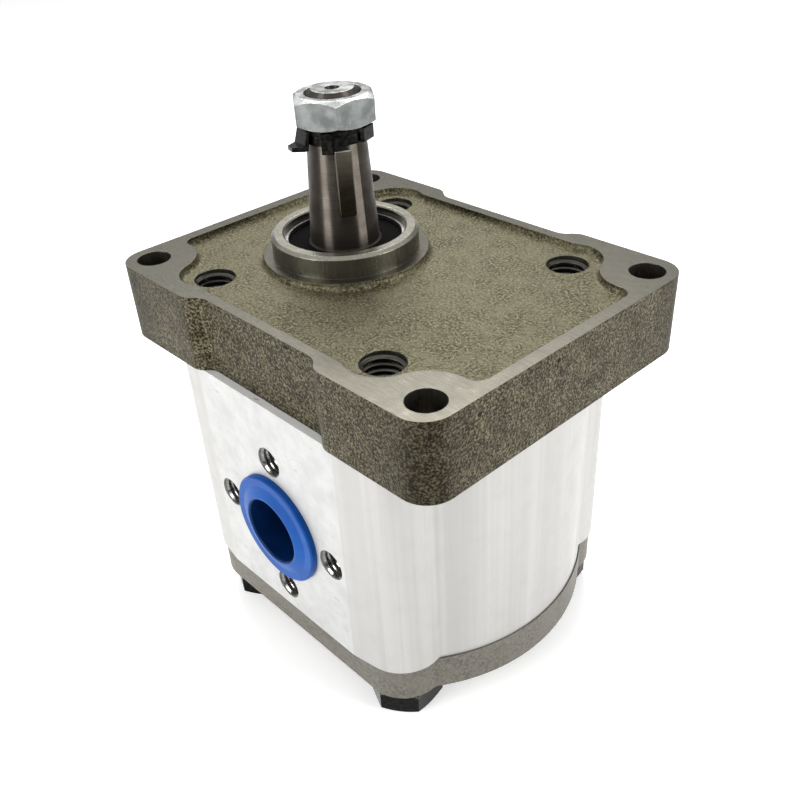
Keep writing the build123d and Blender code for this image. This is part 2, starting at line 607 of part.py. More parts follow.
def make_garter_spring():
    """Garter spring behind the main lip, drawn as a plain ring of wire."""
    return Pos(0, 0, SPRING_Z) * Torus(SPRING_R, SPRING_WIRE_R)


def make_retaining_ring():
    """Internal retaining ring in its groove above the shaft seal."""
    high = RING_GROOVE_Z + RETAINER_THICKNESS
    ring = rod(RETAINER_OUTER_R, RING_GROOVE_Z, high) - rod(RETAINER_INNER_R, RING_GROOVE_Z, high)
    opening = RETAINER_OUTER_R * tan(radians(RETAINER_GAP_ANGLE / 2))
    wedge = make_face(Polyline((0, 0), (RETAINER_OUTER_R, opening), (RETAINER_OUTER_R, -opening), close=True))
    ring -= Pos(0, 0, RING_GROOVE_Z) * extrude(scale(wedge, 2), RETAINER_THICKNESS)
    for side in (-1, 1):
        x, y = polar(RETAINER_EYE_CIRCLE_R, side * radians(RETAINER_GAP_ANGLE / 2 + RETAINER_EYE_ANGLE))
        ring += rod(RETAINER_LUG_R, RING_GROOVE_Z, high, x, y)
        ring -= rod(RETAINER_EYE_R, RING_GROOVE_Z, high, x, y)
    return Rot(0, 0, RETAINER_ANGLE) * ring


def make_plug(side, port_r, disc_r, depth):
    """Hollow push-in plug: a closed cup in the port and a stepped disc against the port face."""
    stem_r = port_r - PLUG_FIT
    mouth_r = stem_r - PLUG_WALL
    top = PLUG_DISC_THICKNESS + PLUG_RIM_HEIGHT
    edge = PLUG_EDGE
    cup = turned([
        (0, -depth), (stem_r - PLUG_WALL / 2, -depth), (stem_r - PLUG_DRAFT, -depth + PLUG_WALL / 2),
        (stem_r, -PLUG_DISC_THICKNESS), (stem_r, PLUG_FIT), (disc_r, PLUG_FIT),
        (disc_r, PLUG_DISC_THICKNESS - edge), (disc_r - edge, PLUG_DISC_THICKNESS),
        (disc_r - PLUG_SLOPE, PLUG_DISC_THICKNESS), (mouth_r + 2 * edge, top), (mouth_r + edge, top),
        (mouth_r, top - edge), (mouth_r - PLUG_DRAFT, PLUG_WALL - depth), (0, PLUG_WALL - depth),
    ])
    return Pos(CENTRE_X, side * BODY_PAD_Y, PORT_Z) * Rot(-side * 90, 0, 0) * cup


def build():
    """Every separate piece, keyed by the name of its node."""
    seal = BLOCK_SEAL_WIDTH / 2
    front = (BODY_TOP - BLOCK_SEAL_DEPTH, BODY_TOP)
    rear = (BODY_BOTTOM, BODY_BOTTOM + BLOCK_SEAL_DEPTH)
    ring_low = (BODY_BOTTOM, BODY_BOTTOM + BODY_SEAL_DEPTH)
    ring_high = (BODY_TOP - BODY_SEAL_DEPTH, BODY_TOP)
    return {
        "mounting_flange": make_flange(),
        "pump_body": make_body(),
        "rear_cover": make_cover(),
        "body_bolts": make_body_bolts(),
        "dowel_pins": make_dowels(),
        "front_bearing_block": make_block(BODY_TOP, GEAR_TOP),
        "rear_bearing_block": make_block(BODY_BOTTOM, GEAR_BOTTOM),
        "front_bushes": make_bushes(GEAR_TOP, BODY_TOP),
        "rear_bushes": make_bushes(BODY_BOTTOM, GEAR_BOTTOM),
        "front_block_seal": eight_band(-seal, seal, *front),
        "rear_block_seal": eight_band(-seal, seal, *rear),
        "front_backup_ring": eight_band(seal, seal + BACKUP_WIDTH, *front),
        "rear_backup_ring": eight_band(seal, seal + BACKUP_WIDTH, *rear),
        "front_body_seal": stadium_ring(BODY_SEAL_R, BODY_SEAL_WIDTH, *ring_high),
        "rear_body_seal": stadium_ring(BODY_SEAL_R, BODY_SEAL_WIDTH, *ring_low),
        "shaft_seal": make_shaft_seal(),
        "seal_case": make_seal_case(),
        "garter_spring": make_garter_spring(),
        "retaining_ring": make_retaining_ring(),
        "drive_gear_shaft": make_drive_gear_shaft(),
        "shaft_key": make_key(),
        "spring_washer": make_spring_washer(),
        "tab_washer": make_tab_washer(),
        "shaft_nut": make_nut(),
        "driven_gear_shaft": make_driven_gear(),
        "inlet_plug": make_plug(-1, INLET_R, INLET_PLUG_DISC_R, INLET_PLUG_DEPTH),
        "outlet_plug": make_plug(1, OUTLET_R, OUTLET_PLUG_DISC_R, OUTLET_PLUG_DEPTH),
    }


os.makedirs("parts", exist_ok=True)
for node, shape in build().items():
    if isinstance(shape, list):
        shape = Compound(children=shape)
    export_step(shape, f"parts/{node}.step")
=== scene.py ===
"""Hydraulic gear pump in a plain studio: finishes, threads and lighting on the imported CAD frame."""
from math import cos, hypot, pi, radians, sin

import bmesh
import bpy
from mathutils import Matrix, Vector


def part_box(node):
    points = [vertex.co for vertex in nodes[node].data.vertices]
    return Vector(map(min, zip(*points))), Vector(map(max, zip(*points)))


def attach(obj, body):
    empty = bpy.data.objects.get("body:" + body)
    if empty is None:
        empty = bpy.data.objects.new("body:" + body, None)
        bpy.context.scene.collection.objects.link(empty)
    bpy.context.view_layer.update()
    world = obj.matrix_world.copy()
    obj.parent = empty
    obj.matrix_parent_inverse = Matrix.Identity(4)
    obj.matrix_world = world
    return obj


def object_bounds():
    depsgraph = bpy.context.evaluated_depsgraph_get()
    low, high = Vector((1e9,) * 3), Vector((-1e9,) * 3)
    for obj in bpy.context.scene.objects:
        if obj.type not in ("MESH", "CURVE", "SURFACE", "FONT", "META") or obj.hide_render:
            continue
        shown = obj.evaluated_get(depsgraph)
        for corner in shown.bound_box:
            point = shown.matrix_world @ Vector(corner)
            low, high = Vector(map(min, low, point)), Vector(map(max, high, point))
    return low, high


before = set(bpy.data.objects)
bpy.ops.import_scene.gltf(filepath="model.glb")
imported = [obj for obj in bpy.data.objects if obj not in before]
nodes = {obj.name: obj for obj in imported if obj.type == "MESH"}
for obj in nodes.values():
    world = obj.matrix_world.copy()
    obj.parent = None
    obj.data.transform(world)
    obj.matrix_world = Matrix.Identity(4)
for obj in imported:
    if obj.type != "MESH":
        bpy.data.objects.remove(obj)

MM = 0.001

# Places on the part, in millimetres.
CENTRE_X = 15.6                   # middle of the body along X
PORT_Z = -56.0                    # height of the port axes
PORT_FACE_R = 25.0                # milled circle round each port
PILOT_R = 18.3                    # just over the pilot's own radius
PILOT_RIM_Z = 4.8                 # the turned rim of the pilot starts here
POCKET_DEPTH = 1.8
POCKET_HALF_X, POCKET_HALF_Y = 52.0, 38.5
FLANGE_BOTTOM_Z = -19.4
FLANGE_HALF_X, FLANGE_HALF_Y = 55.0, 44.6
MOUNTING_HOLE = (48.1, 35.75)     # from the middle of the flange
BODY_BOLT_HOLE = (30.0, 30.0)
HOLE_R = 5.5                      # a little more than any hole through the flange
STUD_TOP_Z = 37.5                 # only the stud's end face is higher
CUP_FLOOR_DEPTH = 3.0             # the plug's cup ends deeper than this below the port face
SLIVER = 0.05                     # slack for faces that lie on a limit
cad_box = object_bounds()
BODY_BOTTOM, BODY_TOP = (corner[2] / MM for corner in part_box("pump_body"))
BODY_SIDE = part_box("pump_body")[1][1] / MM


# --- camera, floor and light -------------------------------------------------------------

SURROUNDINGS = 0.22               # strength of the even light from all round
BACKDROP = 0.94                   # strength of the white seen behind the floor
FLOOR_SIZE = 8                    # metres
AIM = Vector((0.015, 0, -0.03))   # the softboxes point here


def make_camera():
    """Camera above the inlet side, looking down on the flange's nearest corner."""
    data = bpy.data.cameras.new("camera")
    data.sensor_width = 36
    data.lens = 41.005
    data.shift_x = 0.00815
    data.shift_y = 0.02072
    data.clip_start = 0.01
    data.clip_end = 30
    camera = bpy.data.objects.new("camera", data)
    camera.location = (0.16522, -0.13319, 0.09351)
    camera.rotation_euler = [radians(a) for a in (55.4358, 3.1270, 46.5589)]
    bpy.context.scene.collection.objects.link(camera)
    bpy.context.scene.camera = camera


def softbox(name, azimuth, elevation, distance, size, power):
    """Rectangular light aimed at the pump from a compass direction."""
    a, e = radians(azimuth), radians(elevation)
    away = Vector((cos(a) * cos(e), sin(a) * cos(e), sin(e)))
    data = bpy.data.lights.new(name, "AREA")
    data.shape = "RECTANGLE"
    data.size, data.size_y = size
    data.energy = power
    light = bpy.data.objects.new(name, data)
    light.location = AIM + away * distance
    light.rotation_euler = away.to_track_quat("Z", "Y").to_euler()
    light.visible_camera = False
    bpy.context.scene.collection.objects.link(light)


def soft_sun():
    """Very wide, soft sun from almost straight above."""
    data = bpy.data.lights.new("sky", "SUN")
    data.energy = 1.1
    data.angle = radians(120)
    sun = bpy.data.objects.new("sky", data)
    sun.rotation_euler = Vector((-0.2, 0.1, 1)).to_track_quat("Z", "Y").to_euler()
    bpy.context.scene.collection.objects.link(sun)


def make_world():
    """Even grey surroundings, with a plain white backdrop where the camera sees them."""
    world = bpy.data.worlds.new("studio")
    world.use_nodes = True
    tree = world.node_tree
    surroundings = tree.nodes["Background"]
    backdrop = tree.nodes.new("ShaderNodeBackground")
    for background, strength in ((surroundings, SURROUNDINGS), (backdrop, BACKDROP)):
        background.inputs["Color"].default_value = (1, 1, 1, 1)
        background.inputs["Strength"].default_value = strength
    seen = tree.nodes.new("ShaderNodeLightPath")
    choice = tree.nodes.new("ShaderNodeMixShader")
    tree.links.new(seen.outputs["Is Camera Ray"], choice.inputs["Fac"])
    tree.links.new(surroundings.outputs["Background"], choice.inputs[1])
    tree.links.new(backdrop.outputs["Background"], choice.inputs[2])
    tree.links.new(choice.outputs["Shader"], tree.nodes["World Output"].inputs["Surface"])
    bpy.context.scene.world = world


def make_floor():
    """Plain pale paper under the bolt heads."""
    bpy.ops.mesh.primitive_plane_add(size=FLOOR_SIZE, location=(0, 0, cad_box[0].z))
    floor = bpy.context.object
    floor.name = "floor"
    paper = bpy.data.materials.new("paper")
    paper.use_nodes = True
    shader = paper.node_tree.nodes["Principled BSDF"]
    shader.inputs["Base Color"].default_value = (0.93, 0.93, 0.93, 1)
    shader.inputs["Roughness"].default_value = 0.8
    shader.inputs["Specular IOR Level"].default_value = 0.1
    shader.inputs["Emission Color"].default_value = (1, 1, 1, 1)
    shader.inputs["Emission Strength"].default_value = 0.40
    floor.data.materials.append(paper)


def make_studio():
    """Surroundings, a soft sun, three softboxes and the floor."""
    bpy.context.scene.view_settings.view_transform = "Standard"
    bpy.context.scene.view_settings.look = "None"
    make_world()
    soft_sun()
    softbox("back_box", 139, 52, 0.75, (0.55, 0.34), 3.8)
    softbox("left_strip", -97, 12, 0.7, (0.30, 0.40), 3.5)
    softbox("right_strip", 22, 12, 0.7, (0.32, 0.40), 3.4)
    make_floor()


# --- finishes ------------------------------------------------------------------------------

class Finish:
    """One procedural material: a Principled shader and the node sockets that feed it."""

    def __init__(self, name, **constants):
        self.material = bpy.data.materials.new(name)
        self.material.use_nodes = True
        self.tree = self.material.node_tree
        self.shader = self.tree.nodes["Principled BSDF"]
        for socket, value in constants.items():
            self.shader.inputs[socket.replace("_", " ")].default_value = value
        self.place = self.add("ShaderNodeTexCoord").outputs["Object"]
        self.relief = None

    def add(self, kind, **settings):
        node = self.tree.nodes.new(kind)
        for key, value in settings.items():
            setattr(node, key, value)
        return node

    def feed(self, socket, value):
        """Link a socket to an output, or set it to a constant."""
        if isinstance(value, bpy.types.NodeSocket):
            self.tree.links.new(value, socket)
        else:
            socket.default_value = value

    def math(self, operation, a, b=0.0):
        """Result of an arithmetic node."""
        node = self.add("ShaderNodeMath", operation=operation)
        self.feed(node.inputs[0], a)
        self.feed(node.inputs[1], b)
        return node.outputs["Value"]

    def scaled(self, scale, offset=0.0):
        """Object coordinates, scaled along each axis and shifted to another part of a pattern."""
        mapping = self.add("ShaderNodeMapping")
        self.feed(mapping.inputs["Vector"], self.place)
        mapping.inputs["Location"].default_value = (offset, offset * 0.7, offset * 1.3)
        mapping.inputs["Scale"].default_value = scale
        return mapping.outputs["Vector"]

    def noise(self, size, detail=3.0, rough=0.5, stretch=(1, 1, 1), offset=0.0):
        """Noise whose blotches are about size millimetres wide before stretching."""
        node = self.add("ShaderNodeTexNoise")
        node.inputs["Scale"].default_value = 1
        node.inputs["Detail"].default_value = detail
        node.inputs["Roughness"].default_value = rough
        self.feed(node.inputs["Vector"], self.scaled([1 / (size * MM * s) for s in stretch], offset))
        return node.outputs["Fac"]

    def pores(self, spacing, size):
        """1 inside scattered round pinholes; size is a share of their spacing in millimetres."""
        node = self.add("ShaderNodeTexVoronoi")
        node.inputs["Scale"].default_value = 1
        self.feed(node.inputs["Vector"], self.scaled([1 / (spacing * MM)] * 3))
        return self.ramp(node.outputs["Distance"], [(size * 0.8, 1.0), (size, 0.0)])

    def wrinkles(self, size, width, strength):
        """Fine winding lines of a given strength where a noise crosses its middle value."""
        field = self.noise(size, 3, 0.55, offset=3.0)
        return self.ramp(field, [(0.5 - width, 0.0), (0.5, strength), (0.5 + width, 0.0)])

    def toward_corners(self, half_x, half_y):
        """0 along the middle of each side of a rectangle and 1 at its corners."""
        split = self.add("ShaderNodeSeparateXYZ")
        self.feed(split.inputs["Vector"], self.place)
        ends = []
        for axis, middle, half in (("X", CENTRE_X, half_x), ("Y", 0.0, half_y)):
            shifted = self.math("SUBTRACT", split.outputs[axis], middle * MM)
            ends.append(self.math("ABSOLUTE", self.math("DIVIDE", shifted, half * MM)))
        return self.math("MULTIPLY", *ends)

    def ramp(self, value, stops):
        """Colours or greys looked up along a value."""
        node = self.add("ShaderNodeValToRGB")
        self.feed(node.inputs["Fac"], value)
        elements = node.color_ramp.elements
        while len(elements) < len(stops):
            elements.new(0.5)
        for element, (position, colour) in zip(elements, stops):
            element.position = position
            element.color = (*colour, 1) if isinstance(colour, tuple) else (colour, colour, colour, 1)
        return node.outputs["Color"]

    def mix(self, factor, a, b):
        """Blend from a to b, where b may be one colour."""
        node = self.add("ShaderNodeMix", data_type="RGBA")
        self.feed(node.inputs["Factor"], factor)
        self.feed(node.inputs[6], a)
        self.feed(node.inputs[7], (*b, 1) if isinstance(b, tuple) else b)
        return node.outputs[2]

    def span(self, value, low, high, start=0.3, end=0.7):
        """Stretch the middle of a noise to a chosen range."""
        node = self.add("ShaderNodeMapRange")
        self.feed(node.inputs["Value"], value)
        node.inputs["From Min"].default_value = start
        node.inputs["From Max"].default_value = end
        node.inputs["To Min"].default_value = low
        node.inputs["To Max"].default_value = high
        return node.outputs["Result"]

    def colour(self, value):
        self.feed(self.shader.inputs["Base Color"], value)

    def gloss(self, value):
        self.feed(self.shader.inputs["Roughness"], value)

    def set_relief(self, normal):
        self.relief = normal
        self.feed(self.shader.inputs["Normal"], normal)

    def round_edges(self, radius):
        """Soften the shading of sharp edges over a radius in millimetres."""
        node = self.add("ShaderNodeBevel", samples=4)
        node.inputs["Radius"].default_value = radius * MM
        self.set_relief(node.outputs["Normal"])

    def bump(self, height, depth, strength=1.0):
        """Relief of a given depth in millimetres, on top of any before it."""
        node = self.add("ShaderNodeBump")
        node.inputs["Strength"].default_value = strength
        node.inputs["Distance"].default_value = depth * MM
        self.feed(node.inputs["Height"], height)
        if self.relief is not None:
            self.feed(node.inputs["Normal"], self.relief)
        self.set_relief(node.outputs["Normal"])

    def turned_grain(self):
        """Highlights drawn out along the axis of a turned part."""
        self.shader.inputs["Anisotropic"].default_value = 1.0
        self.shader.inputs["Anisotropic Rotation"].default_value = 0.25
        tangent = self.add("ShaderNodeTangent", direction_type="RADIAL", axis="Z")
        self.feed(self.shader.inputs["Tangent"], tangent.outputs["Tangent"])


def cast_skin():
    """As-cast flange side: dark brown-grey, grainy and wrinkled, with painted shade darkening its corners.
    """
    f = Finish("cast_iron_skin", Metallic=0.75, Specular_IOR_Level=0.12)
    f.round_edges(0.35)
    grain = f.noise(0.55, 3, 0.6)
    cloud = f.noise(5.0, 4, 0.6)
    dark = f.ramp(grain, [
        (0.40, (0.007, 0.005, 0.002)), (0.50, (0.040, 0.033, 0.018)), (0.61, (0.145, 0.126, 0.080)),
    ])
    light = f.ramp(grain, [
        (0.40, (0.016, 0.013, 0.006)), (0.50, (0.077, 0.067, 0.040)), (0.61, (0.200, 0.180, 0.120)),
    ])
    tone = f.mix(f.span(cloud, 0, 1, 0.38, 0.62), dark, light)
    tone = f.mix(f.wrinkles(1.6, 0.030, 0.65), tone, (0.006, 0.004, 0.002))
    # painted shade: the flange sides darken towards their corners
    corner_shade = f.span(f.toward_corners(FLANGE_HALF_X, FLANGE_HALF_Y), 0.0, 0.55, 0.66, 0.92)
    tone = f.mix(corner_shade, tone, (0.010, 0.008, 0.005))
    f.colour(f.mix(f.pores(9.0, 0.07), tone, (0.002, 0.002, 0.002)))
    f.gloss(f.span(grain, 0.40, 0.62))
    f.bump(grain, 0.30)
    f.bump(f.noise(1.8, 3, 0.5), 0.40, 0.7)
    return f.material


def cast_floor():
    """As-cast pocket floor: olive grey, speckled, with fine casting wrinkles."""
    f = Finish("cast_iron_floor", Metallic=0.7, Specular_IOR_Level=0.2)
    f.round_edges(0.4)
    grain = f.noise(0.6, 3, 0.6)
    cloud = f.noise(6.0, 4, 0.6)
    tone = f.ramp(grain, [
        (0.38, (0.034, 0.029, 0.014)), (0.50, (0.118, 0.107, 0.062)), (0.63, (0.27, 0.25, 0.160)),
    ])
    tone = f.mix(f.span(cloud, 0, 0.5, 0.40, 0.62), tone, (0.195, 0.184, 0.115))
    f.colour(f.mix(f.wrinkles(1.8, 0.028, 0.6), tone, (0.022, 0.019, 0.009)))
    f.gloss(f.span(grain, 0.34, 0.54))
    f.bump(grain, 0.26)
    f.bump(f.noise(2.2, 3, 0.5), 0.22, 0.6)
    return f.material


def machined_iron(name, dark, light, smooth, rough):
    """Milled or turned iron: grey, with fine cutter marks."""
    f = Finish(name, Metallic=0.9)
    f.round_edges(0.2)
    marks = f.noise(0.25, 2, 0.5, stretch=(18, 1, 18))
    blotch = f.noise(3.0, 4, 0.6)
    tone = f.ramp(marks, [(0.3, dark), (0.7, light)])
    f.colour(f.mix(f.span(blotch, 0, 0.6), tone, tuple(c * 0.8 for c in dark)))
    f.gloss(f.span(blotch, smooth, rough))
    f.bump(marks, 0.02, 0.5)
    return f.material


def extruded_aluminium():
    """Sides of the extrusion: pale and soft, with wide die bands running up them."""
    f = Finish("extruded_aluminium", Metallic=0.4)
    f.round_edges(0.25)
    lines = f.noise(1.4, 3, 0.6, stretch=(1, 1, 120))
    bands = f.noise(8.0, 2, 0.5, stretch=(1, 1, 30))
    smear = f.noise(5.0, 4, 0.6)
    tone = f.ramp(lines, [
        (0.30, (0.44, 0.433, 0.417)), (0.55, (0.485, 0.478, 0.462)), (0.75, (0.505, 0.498, 0.485)),
    ])
    tone = f.mix(f.span(bands, 0.0, 0.6, 0.42, 0.66), tone, (0.40, 0.39, 0.375))
    f.colour(f.mix(f.span(smear, 0, 0.3, 0.52, 0.75), tone, (0.41, 0.40, 0.39)))
    f.gloss(f.span(smear, 0.38, 0.52))
    f.bump(lines, 0.02, 0.4)
    return f.material


def milled_aluminium(name, dark, light, metallic):
    """Port faces and ends: flat white metal with faint smears, scuffs and a few nicks."""
    f = Finish(name, Metallic=metallic)
    f.round_edges(0.25)
    smear = f.noise(5.0, 5, 0.65)
    scuffs = f.noise(1.1, 4, 0.7, stretch=(3, 1, 1), offset=7.0)
    tone = f.ramp(smear, [(0.38, light), (0.66, dark)])
    nick = f.ramp(scuffs, [(0.64, 0.0), (0.69, 0.8)])
    f.colour(f.mix(nick, tone, (0.36, 0.35, 0.34)))
    f.gloss(f.span(smear, 0.36, 0.50))
    f.bump(scuffs, 0.02, 0.4)
    return f.material


def cast_cover():
    """Rear cover: smoother grey casting with its edge trimmed."""
    f = Finish("cast_iron_cover", Metallic=0.4)
    f.round_edges(0.3)
    grain = f.noise(0.8, 4, 0.55)
    cloud = f.noise(6.0, 2, 0.5)
    tone = f.ramp(grain, [(0.36, (0.080, 0.074, 0.060)), (0.64, (0.190, 0.178, 0.148))])
    f.colour(f.mix(f.span(cloud, 0, 0.5, 0.4, 0.6), tone, (0.155, 0.145, 0.120)))
    f.gloss(f.span(grain, 0.42, 0.55))
    f.bump(grain, 0.06, 0.6)
    return f.material


def black_steel():
    """Black oxide on steel, a little worn on its high spots."""
    f = Finish("black_steel", Metallic=0.85, Specular_IOR_Level=0.2)
    f.round_edges(0.25)
    grain = f.noise(0.9, 3, 0.5)
    f.colour(f.ramp(grain, [(0.40, (0.002, 0.002, 0.002)), (0.66, (0.013, 0.012, 0.010))]))
    f.gloss(f.span(grain, 0.14, 0.28))
    f.bump(grain, 0.03, 0.5)
    return f.material


def steel(name, dark, light, roughness, edge=0.15, turned=False):
    """Bare turned or ground steel with marks running round it."""
    f = Finish(name, Metallic=1.0)
    f.round_edges(edge)
    marks = f.noise(0.12, 2, 0.5, stretch=(60, 60, 1))
    patch = f.noise(3.0, 3, 0.5)
    tone = f.ramp(marks, [(0.3, dark), (0.7, light)])
    f.colour(f.mix(f.span(patch, 0, 0.35), tone, dark))
    f.gloss(f.span(patch, roughness * 0.85, roughness * 1.2))
    f.bump(marks, 0.006, 0.5)
    if turned:
        f.turned_grain()
    return f.material


def zinc(name, dark, light, edge):
    """Zinc plate with a soft cloudy bloom."""
    f = Finish(name, Metallic=1.0)
    f.round_edges(edge)
    bloom = f.noise(3.5, 2, 0.5)
    f.colour(f.ramp(bloom, [(0.36, dark), (0.64, light)]))
    f.gloss(f.span(bloom, 0.20, 0.34))
    f.bump(f.noise(0.35, 2, 0.5), 0.012, 0.5)
    return f.material


def soft_alloy(name, dark, light, metallic, roughness):
    """Fine-grained alloy or lining."""
    f = Finish(name, Metallic=metallic)
    grain = f.noise(0.5, 3, 0.5)
    f.colour(f.ramp(grain, [(0.3, dark), (0.7, light)]))
    f.gloss(f.span(grain, roughness * 0.85, roughness * 1.15))
    f.bump(grain, 0.02, 0.4)
    return f.material


def plastic(name, dark, light, roughness):
    """Injection-moulded plastic with faint flow marks and a fine skin."""
    f = Finish(name, Specular_IOR_Level=0.12)
    f.round_edges(0.3)
    flow = f.noise(6.0, 2, 0.5)
    f.colour(f.ramp(flow, [(0.3, dark), (0.7, light)]))
    f.gloss(f.span(f.noise(1.5, 3, 0.5), roughness * 0.85, roughness * 1.2))
    f.bump(f.noise(0.4, 2, 0.5), 0.01, 0.4)
    return f.material


def rubber():
    """Black moulded rubber."""
    f = Finish("seal_rubber", Specular_IOR_Level=0.08)
    grain = f.noise(0.4, 3, 0.5)
    f.colour(f.ramp(grain, [(0.3, (0.002, 0.002, 0.002)), (0.7, (0.006, 0.006, 0.005))]))
    f.gloss(f.span(grain, 0.85, 0.95))
    f.bump(grain, 0.02, 0.5)
    return f.material


make_camera()
make_studio()

finishes = {
    # flange, body and cover
    "cast_iron_skin": cast_skin(),
    "cast_iron_floor": cast_floor(),
    "machined_iron": machined_iron(
        "machined_iron", (0.125, 0.117, 0.092), (0.205, 0.195, 0.160), 0.25, 0.37),
    # lighter copy of machined iron on the pilot's rim: painted highlight
    "turned_iron_painted_highlight": machined_iron(
        "turned_iron_painted_highlight", (0.34, 0.325, 0.27), (0.48, 0.46, 0.39), 0.22, 0.34),
    "cast_iron_cover": cast_cover(),
    "extruded_aluminium": extruded_aluminium(),
    "milled_aluminium": milled_aluminium(
        "milled_aluminium", (0.46, 0.46, 0.45), (0.53, 0.53, 0.52), 0.35),
    # near-white, almost unmetallic aluminium on the body's ends: painted light against the shade there
    "sawn_aluminium_painted_light": milled_aluminium(
        "sawn_aluminium_painted_light", (0.86, 0.86, 0.85), (0.95, 0.95, 0.94), 0.05),
    # fasteners, shaft and key
    "black_steel": black_steel(),
    # lighter steel on the bolt heads' sloping faces: painted highlight
    "painted_highlight_steel": steel("painted_highlight_steel", (0.16, 0.155, 0.145), (0.30, 0.29, 0.27), 0.25),
    "hardened_steel": steel(
        "hardened_steel", (0.080, 0.070, 0.058), (0.116, 0.103, 0.089), 0.40, turned=True),
    "key_steel": steel("key_steel", (0.06, 0.053, 0.04), (0.10, 0.09, 0.072), 0.2),
    "zinc_plated_steel": zinc("zinc_plated_steel", (0.076, 0.080, 0.077), (0.132, 0.139, 0.136), 0.15),
    # much lighter copy of the zinc for upward-facing ends: painted highlight
    "painted_highlight_zinc": zinc("painted_highlight_zinc", (0.62, 0.63, 0.62), (0.82, 0.83, 0.82), 0.3),
    # bearings and seals
    "bearing_alloy": soft_alloy("bearing_alloy", (0.42, 0.43, 0.44), (0.60, 0.61, 0.62), 0.9, 0.4),
    "bush_lining": soft_alloy("bush_lining", (0.18, 0.15, 0.12), (0.30, 0.25, 0.19), 0.6, 0.45),
    "seal_rubber": rubber(),
    "backup_plastic": plastic("backup_plastic", (0.62, 0.60, 0.54), (0.74, 0.72, 0.66), 0.45),
    # steel case made near black: painted shade inside the pilot's bore
    "seal_case_steel": steel("seal_case_steel", (0.012, 0.011, 0.010), (0.030, 0.028, 0.025), 0.35),
    "spring_steel": steel("spring_steel", (0.42, 0.41, 0.39), (0.62, 0.61, 0.59), 0.3),
    # plugs
    "blue_plastic": plastic("blue_plastic", (0.001, 0.050, 0.245), (0.003, 0.076, 0.325), 0.34),
    # darker blue inside the plug's cup: painted shade
    "plug_cup_painted_shade": plastic("plug_cup_painted_shade", (0.001, 0.014, 0.070), (0.001, 0.024, 0.105), 0.40),
}


# --- faces that differ from the rest of their part ---------------------------------------------

def flange_zone(face):
    """0 as-cast side, 1 as-cast pocket floor, 2 machined, 3 the pilot's turned rim, lighter machined iron
    as a painted highlight.
    """
    x, y, z = face.center / MM
    across, along, radius = abs(x - CENTRE_X), abs(y), hypot(x, y)
    if radius < PILOT_R and z > PILOT_RIM_Z and face.normal.z > 0.2:
        return 3
    if z > -SLIVER or z < FLANGE_BOTTOM_Z or radius < PILOT_R:
        return 2
    if any(hypot(across - hole[0], along - hole[1]) < HOLE_R for hole in (MOUNTING_HOLE, BODY_BOLT_HOLE)):
        return 2
    if z > -POCKET_DEPTH - SLIVER and across < POCKET_HALF_X and along < POCKET_HALF_Y:
        return 1
    return 0


def body_zone(face):
    """0 extruded side, 1 milled port face and bores, 2 sawn end, near-white as painted light."""
    x, y, z = face.center / MM
    at_end = z > BODY_TOP - 2 * SLIVER or z < BODY_BOTTOM + 2 * SLIVER
    if abs(face.normal.z) > 0.9 and at_end:
        return 2
    near_port = hypot(x - CENTRE_X, z - PORT_Z) < PORT_FACE_R
    return 1 if near_port or abs(y) > BODY_SIDE - 2 * SLIVER else 0


def nut_zone(face):
    """0 flats and bore, 1 faced end with its shallow chamfer, given a painted highlight."""
    return 1 if face.normal.z > 0.8 else 0


def shaft_zone(face):
    """0 ground shaft, 1 end above the nut, given a painted highlight."""
    return 1 if face.center.z / MM > STUD_TOP_Z and face.normal.z > 0.9 else 0


def key_zone(face):
    """0 side of the key, 1 its upper end, given a painted highlight."""
    return 1 if face.normal.z > 0.5 else 0


def bolt_zone(face):
    """0 blackened steel, 1 sloping faces of the heads, given a painted highlight."""
    slopes = 0.15 < abs(face.normal.z) < 0.97
    return 1 if slopes and face.center.z / MM < BODY_BOTTOM - 1 else 0


def plug_zone(face):
    """0 outside of the plug, 1 inside its cup, a darker blue that is painted shade."""
    x, y, z = face.center / MM
    to_axis = Vector((CENTRE_X - x, 0, PORT_Z - z))
    wall = to_axis.length > 0.1 and face.normal.dot(to_axis.normalized()) > 0.5
    floor = abs(y) < BODY_SIDE - CUP_FLOOR_DEPTH and face.normal.y * y > 0.5 * abs(y)
    return 1 if wall or floor else 0


plain_parts = {
    "rear_cover": "cast_iron_cover", "dowel_pins": "hardened_steel", "driven_gear_shaft": "hardened_steel",
    "front_bearing_block": "bearing_alloy", "rear_bearing_block": "bearing_alloy",
    "front_bushes": "bush_lining", "rear_bushes": "bush_lining",
    "front_block_seal": "seal_rubber", "rear_block_seal": "seal_rubber",
    "front_backup_ring": "backup_plastic", "rear_backup_ring": "backup_plastic",
    "front_body_seal": "seal_rubber", "rear_body_seal": "seal_rubber",
    "shaft_seal": "seal_rubber", "seal_case": "seal_case_steel", "garter_spring": "spring_steel",
    "retaining_ring": "spring_steel", "spring_washer": "black_steel", "tab_washer": "black_steel",
}
zoned_parts = {
    "mounting_flange": (
        flange_zone, ("cast_iron_skin", "cast_iron_floor", "machined_iron", "turned_iron_painted_highlight")),
    "pump_body": (body_zone, ("extruded_aluminium", "milled_aluminium", "sawn_aluminium_painted_light")),
    "body_bolts": (bolt_zone, ("black_steel", "painted_highlight_steel")),
    "drive_gear_shaft": (shaft_zone, ("hardened_steel", "painted_highlight_zinc")),
    "shaft_key": (key_zone, ("key_steel", "painted_highlight_zinc")),
    "shaft_nut": (nut_zone, ("zinc_plated_steel", "painted_highlight_zinc")),
    "inlet_plug": (plug_zone, ("blue_plastic", "plug_cup_painted_shade")),
    "outlet_plug": (plug_zone, ("blue_plastic", "plug_cup_painted_shade")),
}


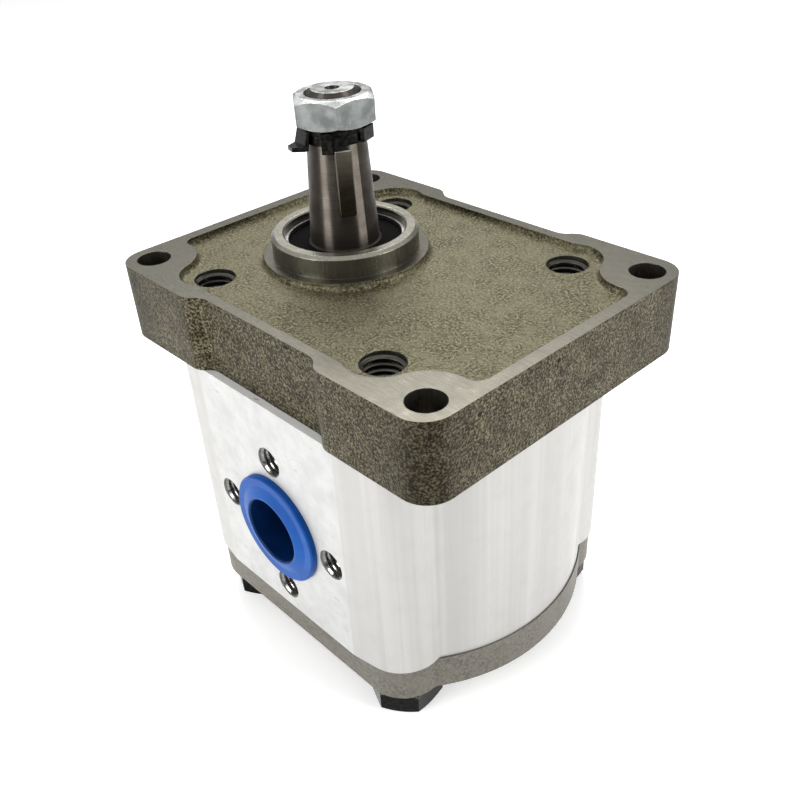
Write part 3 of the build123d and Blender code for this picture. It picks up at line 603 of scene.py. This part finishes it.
def dress(part, *names):
    """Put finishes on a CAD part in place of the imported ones."""
    nodes[part].data.materials.clear()
    for name in names:
        nodes[part].data.materials.append(finishes[name])


for part, name in plain_parts.items():
    dress(part, name)
for part, (zone, names) in zoned_parts.items():
    dress(part, *names)
    for polygon in nodes[part].data.polygons:
        polygon.material_index = zone(polygon)


# --- threads in the tapped holes -------------------------------------------------------------

TURN_STEPS = 40                   # straight pieces in one turn of a thread
FADE_STEPS = 12                   # pieces over which a thread's ends run out
FLANK_FOOT, FLANK_CREST = 0.46, 0.08     # half widths of the ridge, as shares of the pitch


def thread(name, mouth, inward, size, depth, material):
    """Helical ridge standing in from the wall of a tapped hole, of a given wall, crest and pitch."""
    wall_r, crest_r, pitch = size
    across = Vector((1, 0, 0)) if abs(inward.x) < 0.5 else Vector((0, 1, 0))
    other = inward.cross(across)
    count = int(depth / pitch * TURN_STEPS)
    section = [(wall_r, -FLANK_FOOT), (crest_r, -FLANK_CREST), (crest_r, FLANK_CREST), (wall_r, FLANK_FOOT)]
    mesh = bmesh.new()
    rings = []
    for i in range(count + 1):
        angle = 2 * pi * i / TURN_STEPS
        fade = min(1.0, i / FADE_STEPS, (count - i) / FADE_STEPS)
        radial = across * cos(angle) + other * sin(angle)
        ring = []
        for r, shift in section:
            reach = wall_r + (r - wall_r) * fade
            along = (i / TURN_STEPS + shift * max(fade, 0.05) + 0.5) * pitch
            ring.append(mesh.verts.new((mouth + radial * reach + inward * along) * MM))
        rings.append(ring)
    for a, b in zip(rings, rings[1:]):
        for j in range(len(section)):
            k = (j + 1) % len(section)
            mesh.faces.new((a[j], a[k], b[k], b[j]))
    mesh.faces.new(rings[0])
    mesh.faces.new(list(reversed(rings[-1])))
    bmesh.ops.recalc_face_normals(mesh, faces=mesh.faces)
    data = bpy.data.meshes.new(name)
    mesh.to_mesh(data)
    mesh.free()
    data.materials.append(material)
    piece = bpy.data.objects.new(name, data)
    bpy.context.scene.collection.objects.link(piece)
    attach(piece, "housing")


M10_IN_IRON = (5.0, 4.3, 1.5)           # wall radius, crest radius, pitch
M8_IN_ALLOY = (3.98, 3.45, 1.25)
M6_IN_ALLOY = (2.98, 2.5, 1.0)
INLET_CIRCLE_R, OUTLET_CIRCLE_R = 20.0, 15.0

# both darker than the metal they are cut in: painted shade for the inside of the tapped holes
thread_iron_painted_shade = steel("thread_iron_painted_shade", (0.05, 0.046, 0.04), (0.20, 0.19, 0.17), 0.2, edge=0.05)
thread_alloy_painted_shade = steel("thread_alloy_painted_shade", (0.10, 0.098, 0.09), (0.34, 0.335, 0.32), 0.16, edge=0.05)
for i, a in ((-1, "a"), (1, "b")):
    for j, b in ((-1, "a"), (1, "b")):
        mouth = Vector((CENTRE_X + BODY_BOLT_HOLE[0] * i, BODY_BOLT_HOLE[1] * j, -POCKET_DEPTH))
        thread(f"flange_thread_{a}{b}", mouth, Vector((0, 0, -1)), M10_IN_IRON, 6.0,
               thread_iron_painted_shade)
for port, side, circle_r, size, depth in (
    ("inlet", -1, INLET_CIRCLE_R, M8_IN_ALLOY, 12.0), ("outlet", 1, OUTLET_CIRCLE_R, M6_IN_ALLOY, 10.0),
):
    for n, (dx, dz) in enumerate(((1, 0), (0, 1), (-1, 0), (0, -1))):
        mouth = Vector((CENTRE_X + circle_r * dx, side * BODY_SIDE, PORT_Z + circle_r * dz))
        thread(f"{port}_thread_{n + 1}", mouth, Vector((0, -side, 0)), size, depth,
               thread_alloy_painted_shade)
